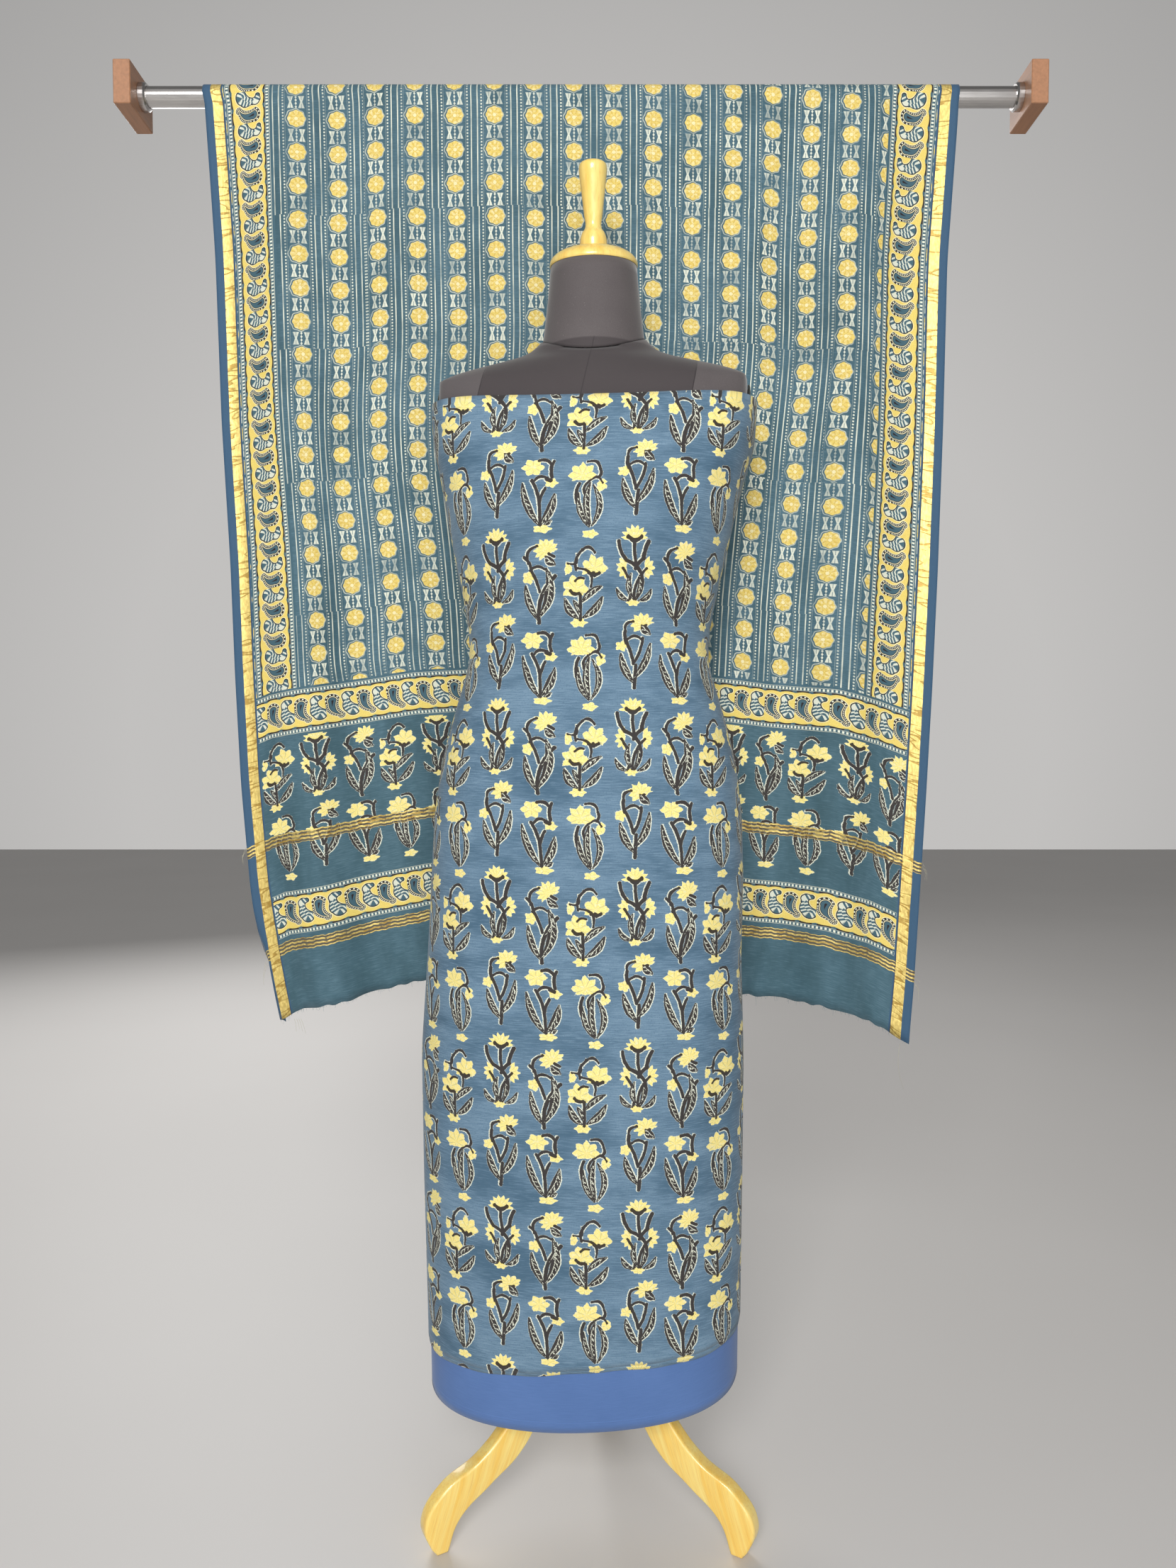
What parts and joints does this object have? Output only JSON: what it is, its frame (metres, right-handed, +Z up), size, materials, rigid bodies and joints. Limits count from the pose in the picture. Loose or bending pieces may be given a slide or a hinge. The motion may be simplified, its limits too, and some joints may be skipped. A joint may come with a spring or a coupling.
{
  "type": "salwar kameez suit set on a limbless dress form and a rod",
  "caption": "Unstitched suit set: a printed length wrapped round a limbless dress form over a plain length, with a printed dupatta hung over a steel rod behind.",
  "frame": {"origin": "middle of the bounding box at floor level, under the rod's middle and near the form's post", "axes": "+Z up, +X along the rod to the right as seen from the front, -Y is the way the form faces"},
  "size_m": [1.19, 0.3542, 1.8315],
  "materials": {
    "kameez_print": "soft printed cotton, matt",
    "salwar_plain": "plain dyed cotton, matt",
    "dupatta_print": "thin printed cotton silk with a gold edge, slight sheen",
    "form_cover": "close knitted cover, matt",
    "arm_plate": "black, half gloss",
    "varnished_wood": "clear varnish, glossy",
    "satin_steel": "satin",
    "bracket_wood": "brown wood laminate, half gloss"
  },
  "bodies": {
    "root": {"kameez_cloth": "kameez_print", "salwar_cloth": "salwar_plain", "dupatta": "dupatta_print", "form_torso": "form_cover", "form_neck": "form_cover", "arm_plate_left": "arm_plate", "arm_plate_right": "arm_plate", "neck_cap": "varnished_wood", "finial": "varnished_wood", "base_disc": "varnished_wood", "post": "varnished_wood", "hub": "varnished_wood", "leg_front_left": "varnished_wood", "leg_front_right": "varnished_wood", "leg_back": "varnished_wood", "rod": "satin_steel", "flange_left": "satin_steel", "flange_right": "satin_steel", "bracket_left": "bracket_wood", "bracket_right": "bracket_wood"}
  },
  "joints": []
}
